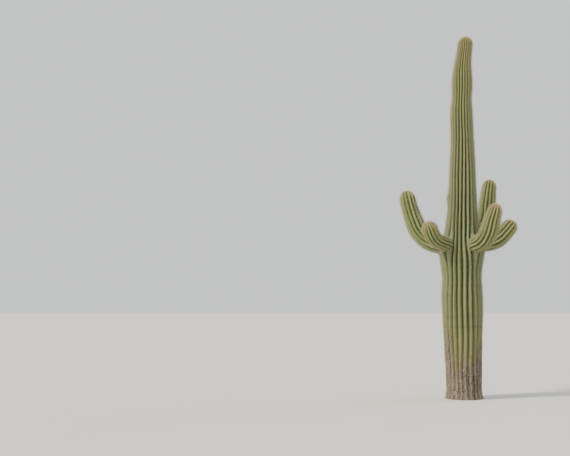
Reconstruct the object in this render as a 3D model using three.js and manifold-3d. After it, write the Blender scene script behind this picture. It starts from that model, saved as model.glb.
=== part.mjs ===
// A saguaro cactus with a ribbed, tapering trunk and five upturned arms, in millimetres, +Z up.
// The origin is on the ground under the trunk, +X is to the viewer's right and -Y is towards the viewer.
// Azimuths are in degrees from +X towards +Y, so 90 is straight behind the trunk.

import * as THREE from "three";
import { mergeVertices } from "three/addons/utils/BufferGeometryUtils.js";
import Module from "manifold-3d";

// Trunk: the radius over the rib crests and the axis's drift to the right, at each height where they change.
const TRUNK_HEIGHT = 6300;
const TRUNK_DOME = 110;
const TRUNK_STATIONS = [
  { height: 0, radius: 322, drift: 0 },
  { height: 130, radius: 300, drift: 0 },
  { height: 500, radius: 304, drift: 0 },
  { height: 1000, radius: 322, drift: 0 },
  { height: 1700, radius: 345, drift: 0 },
  { height: 2040, radius: 331, drift: 0 },
  { height: 2250, radius: 350, drift: 0 },
  { height: 2440, radius: 374, drift: 5 },
  { height: 2620, radius: 342, drift: 11 },
  { height: 2800, radius: 307, drift: 19 },
  { height: 3050, radius: 271, drift: 28 },
  { height: 3300, radius: 247, drift: 35 },
  { height: 3600, radius: 232, drift: 43 },
  { height: 4200, radius: 209, drift: 51 },
  { height: 4550, radius: 195, drift: 54 },
  { height: 5000, radius: 187, drift: 50 },
  { height: 5210, radius: 166, drift: 60 },
  { height: 5400, radius: 176, drift: 70 },
  { height: 5620, radius: 167, drift: 75 },
  { height: 5850, radius: 141, drift: 92 },
  { height: 6050, radius: 125, drift: 120 },
  { height: TRUNK_HEIGHT, radius: 114, drift: 148 },
];
const TRUNK_RIBS = 22;
const TRUNK_RING_STEP = 210;

// The old woody foot has shallow ribs, which reach their full depth at BARK_HEIGHT.
const BARK_HEIGHT = 1300;
const FOOT_RIB_SHARE = 0.25;

// A low swelling on the trunk's left flank.
const SWELLING = { azimuth: 184, height: 3460, reach: 30, halfHeight: 120, halfWidth: 100 };

// Arms: each axis lies in an upright plane through the trunk's axis. It leaves the trunk with a straight stub
// that rises by rise degrees, turns upwards over the elbow, and turns a little more over the upright.
// An arm's radius changes from its neck beside the trunk, over its belly, to its tip.
const ARMS = [
  {
    name: "left_arm", azimuth: 170, rootHeight: 2560, rise: 12, stub: 430, elbow: 490, elbowTurn: 55,
    upright: 680, uprightTurn: 15, neck: 160, belly: 157, bellyAt: 1050, tip: 130,
  },
  {
    name: "front_left_arm", azimuth: 224, rootHeight: 2525, rise: 14, stub: 540, elbow: 240, elbowTurn: 53,
    upright: 180, uprightTurn: -7, neck: 115, belly: 118, bellyAt: 590, tip: 125,
  },
  {
    name: "back_right_arm", azimuth: 58, rootHeight: 2790, rise: 11, stub: 555, elbow: 415, elbowTurn: 69,
    upright: 695, uprightTurn: -7, neck: 122, belly: 166, bellyAt: 870, tip: 117,
  },
  {
    name: "front_right_arm", azimuth: -50, rootHeight: 2535, rise: 11, stub: 460, elbow: 390, elbowTurn: 58,
    upright: 397, uprightTurn: -7, neck: 129, belly: 150, bellyAt: 800, tip: 106,
  },
  {
    name: "right_arm", azimuth: 4, rootHeight: 2590, rise: 9, stub: 470, elbow: 260, elbowTurn: 38,
    upright: 302, uprightTurn: 6, neck: 145, belly: 148, bellyAt: 540, tip: 130,
  },
];
const ARM_RIBS = 13;
const ARM_START = 190;
const ARM_NECK_AT = 330;
const ARM_RING_STEP = 115;

// Ribs: their depth is a share of the distance between two crests, up to a limit.
const TRUNK_RIB_SHARE = 0.6;
const ARM_RIB_SHARE = 0.5;
const RIB_DEPTH_LIMIT = 48;

// Each rib is cut into this many faces, and each dome rises in rings at these angles.
const FACES_PER_RIB = 3;
const DOME_ANGLES = [28, 50, 70];

// Clearance on the axis between an arm's two pieces, whose cut faces tilt a little, and the extra radius that
// leaves a like gap beside the trunk's slanting ribs. Points closer than WELD are one point.
const CLEARANCE = 0.4;
const ROOT_CLEARANCE = 0.6;
const WELD = 1e-3;

const DEGREE = Math.PI / 180;
const UP = new THREE.Vector3(0, 0, 1);

const trunkSkin = new THREE.MeshStandardMaterial({ color: 0x6f7c4e, roughness: 0.62, metalness: 0 });
const armSkin = new THREE.MeshStandardMaterial({ color: 0x7a8a55, roughness: 0.6, metalness: 0 });

// The value of a key between stations, on a smooth curve through all of them.
function alongStations(stations, key, height) {
  const last = stations.length - 1;
  const above = stations.findIndex((station) => station.height > height);
  if (above < 0) return stations[last][key];
  if (above === 0) return stations[0][key];
  const [a, b] = [stations[above - 1], stations[above]];
  const slopeAt = (n) => {
    const [low, high] = [stations[Math.max(0, n - 1)], stations[Math.min(last, n + 1)]];
    return (high[key] - low[key]) / (high.height - low.height);
  };
  const span = b.height - a.height;
  const t = (height - a.height) / span;
  const blend = (2 * t ** 3 - 3 * t ** 2 + 1) * a[key] + (3 * t ** 2 - 2 * t ** 3) * b[key];
  return blend + span * ((t ** 3 - 2 * t ** 2 + t) * slopeAt(above - 1) + (t ** 3 - t ** 2) * slopeAt(above));
}

// How much of its full radius a stem keeps inside its dome.
function domeShare(distance, length, dome) {
  const t = Math.max(0, (distance - (length - dome)) / dome);
  return Math.sqrt(Math.max(0, 1 - t * t));
}

// A pleated outline: round crests and sharp valleys. It returns the radius at one angle.
function ribbedRadius(radius, angle, ribs, share, depthScale) {
  const spacing = (2 * Math.PI * radius) / ribs;
  const depth = Math.min(RIB_DEPTH_LIMIT, share * spacing) * depthScale;
  return radius - depth * (1 - Math.abs(Math.cos((ribs * angle) / 2)));
}

// The angles of a ring's points: each rib gets its valley and a point on each side of its crest.
function ringAngles(ribs) {
  const step = (2 * Math.PI) / (ribs * FACES_PER_RIB);
  return Array.from({ length: ribs * FACES_PER_RIB }, (_, i) => (i + 0.5) * step);
}

// A closed geometry over rings of points, with a flat cap at each end. A last ring of one point is a tip.
function skinOver(rings) {
  const count = rings[0].length;
  const positions = [];
  const index = [];
  rings.forEach((ring) => ring.forEach((p) => positions.push(p.x, p.y, p.z)));
  const pointAt = (ring, i) => ring * count + (i % count);
  const tipped = rings.at(-1).length === 1;
  const bands = rings.length - (tipped ? 2 : 1);
  for (let ring = 0; ring < bands; ring++) {
    for (let i = 0; i < count; i++) {
      const [a, b] = [pointAt(ring, i), pointAt(ring, i + 1)];
      const [c, d] = [pointAt(ring + 1, i), pointAt(ring + 1, i + 1)];
      index.push(a, b, d, a, d, c);
    }
  }
  const fan = (ring, hub, outwards) => {
    for (let i = 0; i < count; i++) {
      const [here, next] = [pointAt(ring, i), pointAt(ring, i + 1)];
      index.push(...(outwards ? [here, next] : [next, here]), hub);
    }
  };
  const addHub = (ring) => {
    const middle = ring.reduce((sum, p) => sum.add(p), new THREE.Vector3()).divideScalar(ring.length);
    positions.push(middle.x, middle.y, middle.z);
    return positions.length / 3 - 1;
  };
  fan(0, addHub(rings[0]), false);
  fan(bands, tipped ? bands * count + count : addHub(rings.at(-1)), true);
  return new THREE.BufferGeometry()
    .setAttribute("position", new THREE.Float32BufferAttribute(positions, 3))
    .setIndex(index);
}

// The places of a stem's rings: even steps between the given stops, then the rings of its dome and its tip.
function ringPlaces(stops, step, length, dome) {
  const places = [stops[0]];
  for (let i = 1; i < stops.length; i++) {
    const pieces = Math.max(1, Math.round((stops[i] - stops[i - 1]) / step));
    for (let k = 1; k <= pieces; k++) places.push(stops[i - 1] + ((stops[i] - stops[i - 1]) * k) / pieces);
  }
  if (length === undefined) return places;
  return [...places, ...DOME_ANGLES.map((a) => length - dome + dome * Math.sin(a * DEGREE)), length];
}

// How far the swelling pushes the trunk's skin outwards at one angle and height.
function swellingAt(angle, height, radius) {
  const beside = angle - SWELLING.azimuth * DEGREE;
  const turn = Math.atan2(Math.sin(beside), Math.cos(beside));
  const sideways = (turn * radius) / SWELLING.halfWidth;
  const upwards = (height - SWELLING.height) / SWELLING.halfHeight;
  return SWELLING.reach * Math.exp(-(sideways ** 2) - upwards ** 2);
}

function trunkGeometry(extraRadius = 0) {
  const domeFoot = TRUNK_HEIGHT - TRUNK_DOME;
  const swellingHeights = [-1, 0, 1].map((side) => SWELLING.height + side * SWELLING.halfHeight);
  const heights = [...TRUNK_STATIONS.map((station) => station.height), ...swellingHeights];
  const stops = heights.filter((height) => height < domeFoot).sort((a, b) => a - b);
  const places = ringPlaces([...stops, domeFoot], TRUNK_RING_STEP, TRUNK_HEIGHT, TRUNK_DOME);
  const rings = places.map((height) => {
    const drift = alongStations(TRUNK_STATIONS, "drift", height);
    if (height === TRUNK_HEIGHT) return [new THREE.Vector3(drift, 0, height + extraRadius)];
    const full = alongStations(TRUNK_STATIONS, "radius", height);
    const radius = full * domeShare(height, TRUNK_HEIGHT, TRUNK_DOME);
    const depthScale = THREE.MathUtils.lerp(FOOT_RIB_SHARE, 1, Math.min(1, height / BARK_HEIGHT));
    return ringAngles(TRUNK_RIBS).map((angle) => {
      const ribbed = ribbedRadius(radius, angle, TRUNK_RIBS, TRUNK_RIB_SHARE, depthScale);
      const r = ribbed + swellingAt(angle, height, radius) + extraRadius;
      return new THREE.Vector3(drift + r * Math.cos(angle), r * Math.sin(angle), height);
    });
  });
  return skinOver(rings);
}

// The point and slope of an arm's axis, in its upright plane, at a distance from the trunk's axis.
function armAxisAt(arm, distance) {
  let [outward, height, slope, left] = [0, arm.rootHeight, arm.rise * DEGREE, distance];
  for (const [length, turn] of [[arm.stub, 0], [arm.elbow, arm.elbowTurn], [arm.upright, arm.uprightTurn]]) {
    const step = Math.min(left, length);
    const bend = (turn * DEGREE * step) / length;
    const chord = bend ? ((2 * step) / bend) * Math.sin(bend / 2) : step;
    outward += chord * Math.cos(slope + bend / 2);
    height += chord * Math.sin(slope + bend / 2);
    slope += bend;
    left -= step;
  }
  return { outward, height, slope };
}

// An arm's radius over its crests at a distance from the trunk's axis.
function armRadiusAt(arm, distance) {
  const length = arm.stub + arm.elbow + arm.upright;
  const stations = [
    { height: ARM_NECK_AT, radius: arm.neck },
    { height: arm.bellyAt, radius: arm.belly },
    { height: length - arm.tip, radius: arm.tip },
  ];
  return alongStations(stations, "radius", distance) * domeShare(distance, length, arm.tip);
}

function armRing(arm, distance) {
  const { outward, height, slope } = armAxisAt(arm, distance);
  const away = new THREE.Vector3(Math.cos(arm.azimuth * DEGREE), Math.sin(arm.azimuth * DEGREE), 0);
  const side = new THREE.Vector3().crossVectors(UP, away);
  const over = away.clone().multiplyScalar(-Math.sin(slope)).addScaledVector(UP, Math.cos(slope));
  const trunkDrift = alongStations(TRUNK_STATIONS, "drift", arm.rootHeight);
  const centre = new THREE.Vector3(trunkDrift, 0, height).addScaledVector(away, outward);
  if (distance >= arm.stub + arm.elbow + arm.upright) return [centre];
  const radius = armRadiusAt(arm, distance);
  return ringAngles(ARM_RIBS).map((angle) => {
    const r = ribbedRadius(radius, angle, ARM_RIBS, ARM_RIB_SHARE, 1);
    const sideways = side.clone().multiplyScalar(r * Math.cos(angle));
    return centre.clone().add(sideways).addScaledVector(over, r * Math.sin(angle));
  });
}

// One stretch of an arm between two distances; the last stretch ends in the dome.
function armStretch(arm, from, to) {
  const length = arm.stub + arm.elbow + arm.upright;
  const bends = [arm.stub, arm.stub + arm.elbow].filter((stop) => stop > from && stop < to);
  const places =
    to === length
      ? ringPlaces([from, ...bends, length - arm.tip], ARM_RING_STEP, length, arm.tip)
      : ringPlaces([from, ...bends, to], ARM_RING_STEP);
  return skinOver(places.map((distance) => armRing(arm, distance)));
}

const wasm = await Module();
wasm.setup();

function toSolid(geometry) {
  const merged = mergeVertices(geometry, WELD);
  return new wasm.Manifold(
    new wasm.Mesh({
      numProp: 3,
      vertProperties: merged.attributes.position.array,
      triVerts: new Uint32Array(merged.index.array),
    }),
  );
}

function toGeometry(solid) {
  const mesh = solid.getMesh();
  return new THREE.BufferGeometry()
    .setAttribute("position", new THREE.BufferAttribute(mesh.vertProperties, 3))
    .setIndex(new THREE.BufferAttribute(mesh.triVerts, 1));
}

// The largest body of a solid, without the slivers that a cut along a ribbed face can leave.
function largestBody(solid) {
  return solid.decompose().reduce((best, body) => (body.volume() > best.volume() ? body : best));
}

const cactus = new THREE.Group();

function addPiece(name, geometry, material) {
  const mesh = new THREE.Mesh(geometry, material);
  mesh.name = name;
  cactus.add(mesh);
}

addPiece("trunk", trunkGeometry(), trunkSkin);

// Each arm's root is cut to the trunk's ribs, and its two pieces meet in the middle of the elbow.
const trunkToClear = toSolid(trunkGeometry(ROOT_CLEARANCE));
for (const arm of ARMS) {
  const length = arm.stub + arm.elbow + arm.upright;
  const bend = arm.stub + arm.elbow / 2;
  const root = toSolid(armStretch(arm, ARM_START, bend - CLEARANCE / 2)).subtract(trunkToClear);
  addPiece(`${arm.name}_elbow`, toGeometry(largestBody(root)), armSkin);
  addPiece(`${arm.name}_upright`, armStretch(arm, bend + CLEARANCE / 2, length), armSkin);
}

export default cactus;
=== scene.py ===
# %% [markdown]
# A saguaro is one huge pleated water tank. It has no leaves and no twigs: everything that the eye sees is
# the waxy skin, folded into ribs, the felt cushions (areoles) that sit on the crest of every rib, and the
# spines that grow out of those cushions. So this lesson makes three kinds of thing for the trunk and for
# each arm: skin, felt and spines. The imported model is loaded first, because it fixes the plant's size and
# says what each piece stands for.

# %% Load the frame
import math
from dataclasses import dataclass

import bpy
import numpy as np
from mathutils import Euler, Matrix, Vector, noise


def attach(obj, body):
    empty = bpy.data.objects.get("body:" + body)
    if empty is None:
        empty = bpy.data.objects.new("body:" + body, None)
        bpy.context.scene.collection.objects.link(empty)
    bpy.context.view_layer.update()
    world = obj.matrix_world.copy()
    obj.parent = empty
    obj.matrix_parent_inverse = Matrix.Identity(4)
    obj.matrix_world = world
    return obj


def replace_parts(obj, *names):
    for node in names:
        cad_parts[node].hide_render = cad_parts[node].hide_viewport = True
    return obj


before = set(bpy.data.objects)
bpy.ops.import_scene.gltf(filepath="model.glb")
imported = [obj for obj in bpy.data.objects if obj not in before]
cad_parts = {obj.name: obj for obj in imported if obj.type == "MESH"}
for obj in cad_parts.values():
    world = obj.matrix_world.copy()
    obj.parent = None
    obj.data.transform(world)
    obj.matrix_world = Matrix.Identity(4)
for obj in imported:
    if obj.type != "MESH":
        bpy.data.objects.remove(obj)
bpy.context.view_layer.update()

print("the model's nodes:", ", ".join(sorted(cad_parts)))

# %% [markdown]
# The camera comes first, so that every later step can be looked at through it. The photograph was taken from
# standing height, looking slightly up, and HORIZON_ROW is its eye level. A level line of sight meets that
# row, so its distance from the frame's middle gives the camera's tilt. The cactus stands right of the
# middle, which a turn to the left gives. A lens shift could do both, but a turned camera keeps the
# perspective of the real one.

# %% Camera
FRAME_WIDTH, FRAME_HEIGHT = 570, 456
FOCAL_PIXELS = 850
HORIZON_ROW = 310
TRUNK_COLUMN = 462.5
EYE_HEIGHT = 1.5
CAMERA_DISTANCE = 15.01
SENSOR = 36.0
FARTHEST_SEEN = 500


def add_object(name, data):
    """Put a camera, a lamp or a mesh into the scene."""
    made = bpy.data.objects.new(name, data)
    bpy.context.collection.objects.link(made)
    return made


below_middle = HORIZON_ROW - FRAME_HEIGHT / 2
right_of_middle = TRUNK_COLUMN - FRAME_WIDTH / 2
tilt = math.atan(below_middle / FOCAL_PIXELS)
turn = math.atan(right_of_middle / math.hypot(FOCAL_PIXELS, below_middle))

camera = add_object("camera", bpy.data.cameras.new("camera"))
camera.data.sensor_width = SENSOR
camera.data.lens = SENSOR * FOCAL_PIXELS / FRAME_WIDTH
camera.data.clip_end = FARTHEST_SEEN
camera.location = (0, -CAMERA_DISTANCE, EYE_HEIGHT)
camera.rotation_euler = Euler((math.pi / 2 + tilt, 0, turn))
bpy.context.scene.camera = camera
print(f"camera tilted {math.degrees(tilt):.2f} and turned {math.degrees(turn):.2f} degrees")

# %% [markdown]
# Materials are node trees. One small function adds any node: it sets the node's own properties and then its
# input sockets, each with a value or with another node's output. Colours are written the way a paint chart
# or a web page gives them, as sRGB hex, and turned to the linear values that a renderer works with. Plaster,
# wool and horn are all a colour that wanders between two tones, so one function makes them.

# %% Helpers for materials
MIX_A, MIX_B, MIXED = 6, 7, 2  # the colour sockets of a Mix node


def linear(hex_colour):
    """An sRGB hex colour as linear red, green, blue and alpha."""
    shares = [int(hex_colour[i:i + 2], 16) / 255 for i in (1, 3, 5)]
    return (*[s / 12.92 if s <= 0.04045 else ((s + 0.055) / 1.055) ** 2.4 for s in shares], 1.0)


def add_node(tree, kind, inputs=None, **settings):
    """Add one node. settings are its own properties, inputs the values or links of its sockets."""
    made = tree.nodes.new(kind)
    for name, value in settings.items():
        setattr(made, name, value)
    for socket, value in (inputs or {}).items():
        if isinstance(value, bpy.types.NodeSocket):
            tree.links.new(value, made.inputs[socket])
        else:
            made.inputs[socket].default_value = value
    return made


def new_material(name):
    """An empty material with its Principled shader, its tree and its object coordinates, in metres."""
    material = bpy.data.materials.new(name)
    material.use_nodes = True
    tree = material.node_tree
    shader = tree.nodes["Principled BSDF"]
    place = add_node(tree, "ShaderNodeTexCoord").outputs["Object"]
    return material, tree, shader, place


def per_metre(millimetres):
    """How many times a pattern of this size, in millimetres, repeats in a metre."""
    return 1000 / millimetres


def mottled_material(name, mottle_mm, dark, light, sockets):
    """A material that wanders between two tones in patches of this size. sockets are its other values."""
    material, tree, shader, place = new_material(name)
    mottle = add_node(tree, "ShaderNodeTexNoise", {"Vector": place, "Scale": per_metre(mottle_mm)})
    tones = {0: mottle.outputs["Fac"], MIX_A: linear(dark), MIX_B: linear(light)}
    tone = add_node(tree, "ShaderNodeMix", tones, data_type="RGBA").outputs[MIXED]
    tree.links.new(tone, shader.inputs["Base Color"])
    for socket, value in sockets.items():
        shader.inputs[socket].default_value = value
    return material


print(f"the grey #808080 has {linear('#808080')[0]:.2f} of white's light")

# %% [markdown]
# Shapes are worked out with numpy, for whole arrays of points at a time. X points to the right in the
# photograph, Y away from the camera and Z up. On a plant nearly every direction is another one swung round,
# either round a stem or outwards from its axis, so one function swings them all.

# %% Helpers for shapes
RIGHT, BACK, UP = np.eye(3)


def swung(angle, first, second):
    """The direction first, swung by an angle towards second, which is square to it."""
    return np.cos(angle)[..., None] * first + np.sin(angle)[..., None] * second


def even_turns(count):
    """Angles that part a full turn into equal shares."""
    return np.arange(count) * 2 * np.pi / count


def within_half_turn(angle):
    """The same angle, between minus and plus half a turn."""
    return np.arctan2(np.sin(angle), np.cos(angle))


def unit(vectors):
    """The same directions, each with a length of 1."""
    return vectors / np.linalg.norm(vectors, axis=-1, keepdims=True)


def new_mesh(name, points, faces):
    """A mesh of points and faces, which are lists of the points' numbers."""
    mesh = bpy.data.meshes.new(name)
    mesh.from_pydata(points.reshape(-1, 3).tolist(), [], faces)
    return mesh


print("right, swung an eighth of a turn towards the back, is", swung(math.pi / 4, RIGHT, BACK).round(3))

# %% [markdown]
# The floor is plain painted plaster and only there to carry the plant's shadow. It is a wide disc: the
# camera stands low and sees far over it, and a disc's edge is a level horizon from every side. The light is
# that of a big pale sky with one broad, soft lamp high on the left, which draws the ribs, and a weaker one
# from the right behind, which lifts the dark side. Distant lamps suit a plant six metres tall, since they
# light its foot and its tip alike. The floor's tone is chosen so that, under this light, it nearly matches
# the sky, and the horizon stays quiet.

# %% Floor and light
FLOOR_RADIUS = 400.0
FLOOR_SIDES = 120
PLASTER_MOTTLE_MM = 2500
SKY_STRENGTH = 1.12


def plaster():
    return mottled_material("pale_matt_plaster", PLASTER_MOTTLE_MM, "#c5c3be", "#c9c7c3", {"Roughness": 0.9})


def studio_floor():
    rim = FLOOR_RADIUS * swung(even_turns(FLOOR_SIDES), RIGHT, BACK)
    mesh = new_mesh("floor", rim, [tuple(range(FLOOR_SIDES))])
    mesh.materials.append(plaster())
    floor = add_object("floor", mesh)


def lamp(name, azimuth, height, strength, softness, colour):
    """A distant lamp that shines from an azimuth and a height in degrees. softness is its width."""
    data = bpy.data.lights.new(name, "SUN")
    data.energy = strength
    data.angle = math.radians(softness)
    data.color = linear(colour)[:3]
    add_object(name, data).rotation_euler = Euler((0, math.radians(90 - height), math.radians(azimuth)))


studio_floor()
lamp("key_lamp", azimuth=215, height=40, strength=5.2, softness=10, colour="#fff1de")
lamp("rim_lamp", azimuth=40, height=30, strength=1.2, softness=30, colour="#e9f1ff")
world = bpy.data.worlds.new("pale_sky")
world.use_nodes = True
world.node_tree.nodes["Background"].inputs["Color"].default_value = linear("#eceeef")
world.node_tree.nodes["Background"].inputs["Strength"].default_value = SKY_STRENGTH
bpy.context.scene.world = world
print("a floor, two lamps and a sky")

# %% [markdown]
# The trunk is not a straight cone. It is widest where the arms leave it, narrows above them, and has a
# waist for each drought that held up its growth. The tip leans to the right. So its radius and its drift
# to the side are given at the heights where they change, and one smooth curve runs through them. These are
# the solid model's own measures, in metres.

# %% The trunk's measures
TRUNK_HEIGHT = 6.3
TRUNK_DOME = 0.11
TRUNK_RIBS = 22
BARK_HEIGHT = 1.3
FOOT_RIB_SHARE = 0.25

# height, radius over the rib crests, drift to the right
TRUNK_STATIONS = np.array([
    (0, 0.322, 0), (0.13, 0.300, 0), (0.5, 0.304, 0), (1.0, 0.322, 0), (1.7, 0.345, 0),
    (2.04, 0.331, 0), (2.25, 0.350, 0), (2.44, 0.374, 0.005), (2.62, 0.342, 0.011),
    (2.8, 0.307, 0.019), (3.05, 0.271, 0.028), (3.3, 0.247, 0.035), (3.6, 0.232, 0.043),
    (4.2, 0.209, 0.051), (4.55, 0.195, 0.054), (5.0, 0.187, 0.050), (5.21, 0.166, 0.060),
    (5.4, 0.176, 0.070), (5.62, 0.167, 0.075), (5.85, 0.141, 0.092), (6.05, 0.125, 0.120),
    (TRUNK_HEIGHT, 0.114, 0.148),
])
PLACE, RADIUS, DRIFT = 0, 1, 2

# a low swelling on the left flank
SWELLING_AZIMUTH = math.radians(184)
SWELLING_HEIGHT, SWELLING_REACH = 3.46, 0.030
SWELLING_HALF_HEIGHT, SWELLING_HALF_WIDTH = 0.12, 0.10


def along(stations, column, places):
    """One column of the stations at each place, on a smooth curve through all of them."""
    at, value = stations[:, PLACE], stations[:, column]
    slope = np.gradient(value, at)
    slope[1:-1] = (value[2:] - value[:-2]) / (at[2:] - at[:-2])
    low = np.clip(np.searchsorted(at, places, side="right") - 1, 0, len(at) - 2)
    span = at[low + 1] - at[low]
    t = np.clip((places - at[low]) / span, 0, 1)
    start, end = 2 * t**3 - 3 * t**2 + 1, 3 * t**2 - 2 * t**3
    tangents = (t**3 - 2 * t**2 + t) * slope[low] + (t**3 - t**2) * slope[low + 1]
    return start * value[low] + end * value[low + 1] + span * tangents


print(f"it is {2 * along(TRUNK_STATIONS, RADIUS, 1.0):.2f} m wide a metre above the ground")

# %% [markdown]
# Each arm grows out of the trunk almost level, bends upwards in its elbow and then climbs. Its axis lies in
# an upright plane through the trunk's axis and is a straight stub and two arcs, so a few lengths and angles
# place every point of it. A hand-drawn curve could do the same, but these values can be measured, and the
# arm keeps its true length however far it bends.

# %% The arms' measures
ARM_RIBS = 13
ARM_START = 0.19
ARM_NECK_AT = 0.33


@dataclass
class Arm:
    """An arm's angles in degrees, and in metres its root's height, lengths along its axis and radii."""
    azimuth: float
    root_height: float
    rise: float
    stub: float
    elbow: float
    elbow_turn: float
    upright: float
    upright_turn: float
    neck: float
    belly: float
    belly_place: float
    tip: float

    @property
    def length(self):
        return self.stub + self.elbow + self.upright


ARMS = {
    "left_arm": Arm(170, 2.560, 12, 0.430, 0.490, 55, 0.680, 15, 0.160, 0.157, 1.05, 0.130),
    "front_left_arm": Arm(224, 2.525, 14, 0.540, 0.240, 53, 0.180, -7, 0.115, 0.118, 0.59, 0.125),
    "back_right_arm": Arm(58, 2.790, 11, 0.555, 0.415, 69, 0.695, -7, 0.122, 0.166, 0.87, 0.117),
    "front_right_arm": Arm(-50, 2.535, 11, 0.460, 0.390, 58, 0.397, -7, 0.129, 0.150, 0.80, 0.106),
    "right_arm": Arm(4, 2.590, 9, 0.470, 0.260, 38, 0.302, 6, 0.145, 0.148, 0.54, 0.130),
}


def arm_axis(arm, distances):
    """How far out, how high and how steep an arm's axis is at each distance from the trunk's axis."""
    outward = np.zeros_like(distances)
    height = np.full_like(distances, arm.root_height)
    slope = np.full_like(distances, math.radians(arm.rise))
    left = distances.copy()
    for length, turn in ((arm.stub, 0), (arm.elbow, arm.elbow_turn), (arm.upright, arm.upright_turn)):
        step = np.clip(left, 0, length)
        half_bend = math.radians(turn) * step / length / 2
        chord = step * np.sinc(half_bend / np.pi)
        outward += chord * np.cos(slope + half_bend)
        height += chord * np.sin(slope + half_bend)
        slope += 2 * half_bend
        left -= step
    return outward, height, slope


for name, arm in ARMS.items():
    print(f"{name} is {arm.length:.2f} m long along its axis")

# %% [markdown]
# A stem's skin is a stack of rings, and its areoles decide where the rings lie. Along each crest they sit
# about three centimetres apart, closer near the growing tip and further apart at the foot, which has
# stretched. A running count of areoles along the stem, the phase, turns that into places: two rings for
# each areole let the crest swell under it and pinch in between. The foot gets eight, since its cracked
# bark needs finer relief. On the rounded tip, places are measured over the dome, so the rings stay even.

# %% Places of the rings
FINE_HEIGHT = 1.5
LAST_DOME_ANGLE = math.radians(84)
MEASURING_STEP = 0.001
RING_PHASE, FOOT_RING_PHASE = 0.5, 0.125


def ring_places(spacing_places, spacings, length, dome, start=0.0, foot=0.0):
    """Places along the surface for a stem's rings, and the running count of areoles at each."""
    end = length - dome + dome * LAST_DOME_ANGLE
    fine = np.arange(start, end, MEASURING_STEP)
    count = np.cumsum(MEASURING_STEP / np.interp(fine, spacing_places, spacings))
    phase = np.arange(0, count[-1] - count[0], FOOT_RING_PHASE)
    places = np.interp(phase, count - count[0], fine)
    kept = (places < foot) | (phase % RING_PHASE == 0)
    return places[kept], phase[kept]


def over_dome(places, length, dome):
    """Where places along the surface lie along the axis, and what share of the radius is left there."""
    angle = np.clip((places - (length - dome)) / dome, 0, None)
    return np.minimum(places, length - dome) + dome * np.sin(angle), np.cos(angle)


surface_length = TRUNK_HEIGHT - TRUNK_DOME + TRUNK_DOME * math.pi / 2
print(f"the trunk is {surface_length:.2f} m long, measured over its dome")

# %% [markdown]
# A rib is a pleat: a round crest between two sharp valleys. As the plant drinks, the pleats open and the
# crests move apart, so their depth is a share of the distance between two crests, up to a limit. The same
# two numbers in the solid model keep both models alike. A stem is then described ring by ring: its centre,
# the two directions that span it, its radius and the depth of its valleys, which flatten towards the ground
# under the bark. Trunk and arms differ in little else, so most later steps are written once.

# %% Stems, ring by ring
RIB_DEPTH_LIMIT = 0.048
TRUNK_RIB_SHARE, ARM_RIB_SHARE = 0.6, 0.5
FOOT_SPACING, TRUNK_SPACING, ARM_SPACING, TIP_SPACING = 0.044, 0.032, 0.030, 0.018
STRETCHED_BELOW, EVEN_ABOVE = 1.0, 1.4
TRUNK_CROWDING, ARM_CROWDING = 0.45, 0.35
YOUTH_AT_ARM_ROOT = 0.45


@dataclass
class Stem:
    """The trunk or an arm. From places to youth, it holds a value or a direction for each ring."""
    name: str
    replaced: tuple
    ribs: int
    places: np.ndarray
    phase: np.ndarray
    centres: np.ndarray
    side: np.ndarray
    over: np.ndarray
    crest: np.ndarray
    depth: np.ndarray
    youth: np.ndarray
    tip: Vector


def rib_depth(radius, ribs, share):
    """How deep the valleys are, as a share of the distance between two crests."""
    return np.minimum(RIB_DEPTH_LIMIT, share * 2 * np.pi * radius / ribs)


def trunk_stem():
    top = TRUNK_HEIGHT - TRUNK_DOME
    spacing_places = (STRETCHED_BELOW, EVEN_ABOVE, top - TRUNK_CROWDING, top)
    spacings = (FOOT_SPACING, TRUNK_SPACING, TRUNK_SPACING, TIP_SPACING)
    places, phase = ring_places(spacing_places, spacings, TRUNK_HEIGHT, TRUNK_DOME, foot=FINE_HEIGHT)
    heights, share = over_dome(places, TRUNK_HEIGHT, TRUNK_DOME)
    crest = along(TRUNK_STATIONS, RADIUS, heights) * share
    shallow = np.interp(heights, (0, BARK_HEIGHT), (FOOT_RIB_SHARE, 1))
    drift = along(TRUNK_STATIONS, DRIFT, heights)
    return Stem(
        name="trunk", replaced=("trunk",), ribs=TRUNK_RIBS, places=places, phase=phase,
        centres=drift[:, None] * RIGHT + heights[:, None] * UP,
        side=np.tile(RIGHT, (len(places), 1)), over=np.tile(BACK, (len(places), 1)),
        crest=crest, depth=rib_depth(crest, TRUNK_RIBS, TRUNK_RIB_SHARE) * shallow,
        youth=heights / TRUNK_HEIGHT, tip=Vector((drift[-1], 0, TRUNK_HEIGHT)),
    )


def arm_stem(name, arm):
    top = arm.length - arm.tip
    spacing_places, spacings = (top - ARM_CROWDING, top), (ARM_SPACING, TIP_SPACING)
    places, phase = ring_places(spacing_places, spacings, arm.length, arm.tip, start=ARM_START)
    distances, share = over_dome(np.append(places, top + arm.tip * np.pi / 2), arm.length, arm.tip)
    outward, height, slope = arm_axis(arm, distances)
    away = swung(math.radians(arm.azimuth), RIGHT, BACK)
    drift = along(TRUNK_STATIONS, DRIFT, arm.root_height)
    centres = outward[:, None] * away + drift * RIGHT + height[:, None] * UP
    stations = np.array([(ARM_NECK_AT, arm.neck), (arm.belly_place, arm.belly), (top, arm.tip)])
    crest = along(stations, RADIUS, distances[:-1]) * share[:-1]
    nodes = [node for node in sorted(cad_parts) if node.startswith(name)]
    return Stem(
        name=name, replaced=tuple(nodes), ribs=ARM_RIBS, places=places, phase=phase, centres=centres[:-1],
        side=np.tile(np.cross(UP, away), (len(places), 1)), over=swung(slope[:-1], UP, -away),
        crest=crest, depth=rib_depth(crest, ARM_RIBS, ARM_RIB_SHARE),
        youth=YOUTH_AT_ARM_ROOT + (1 - YOUTH_AT_ARM_ROOT) * places / arm.length, tip=Vector(centres[-1]),
    )


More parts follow.
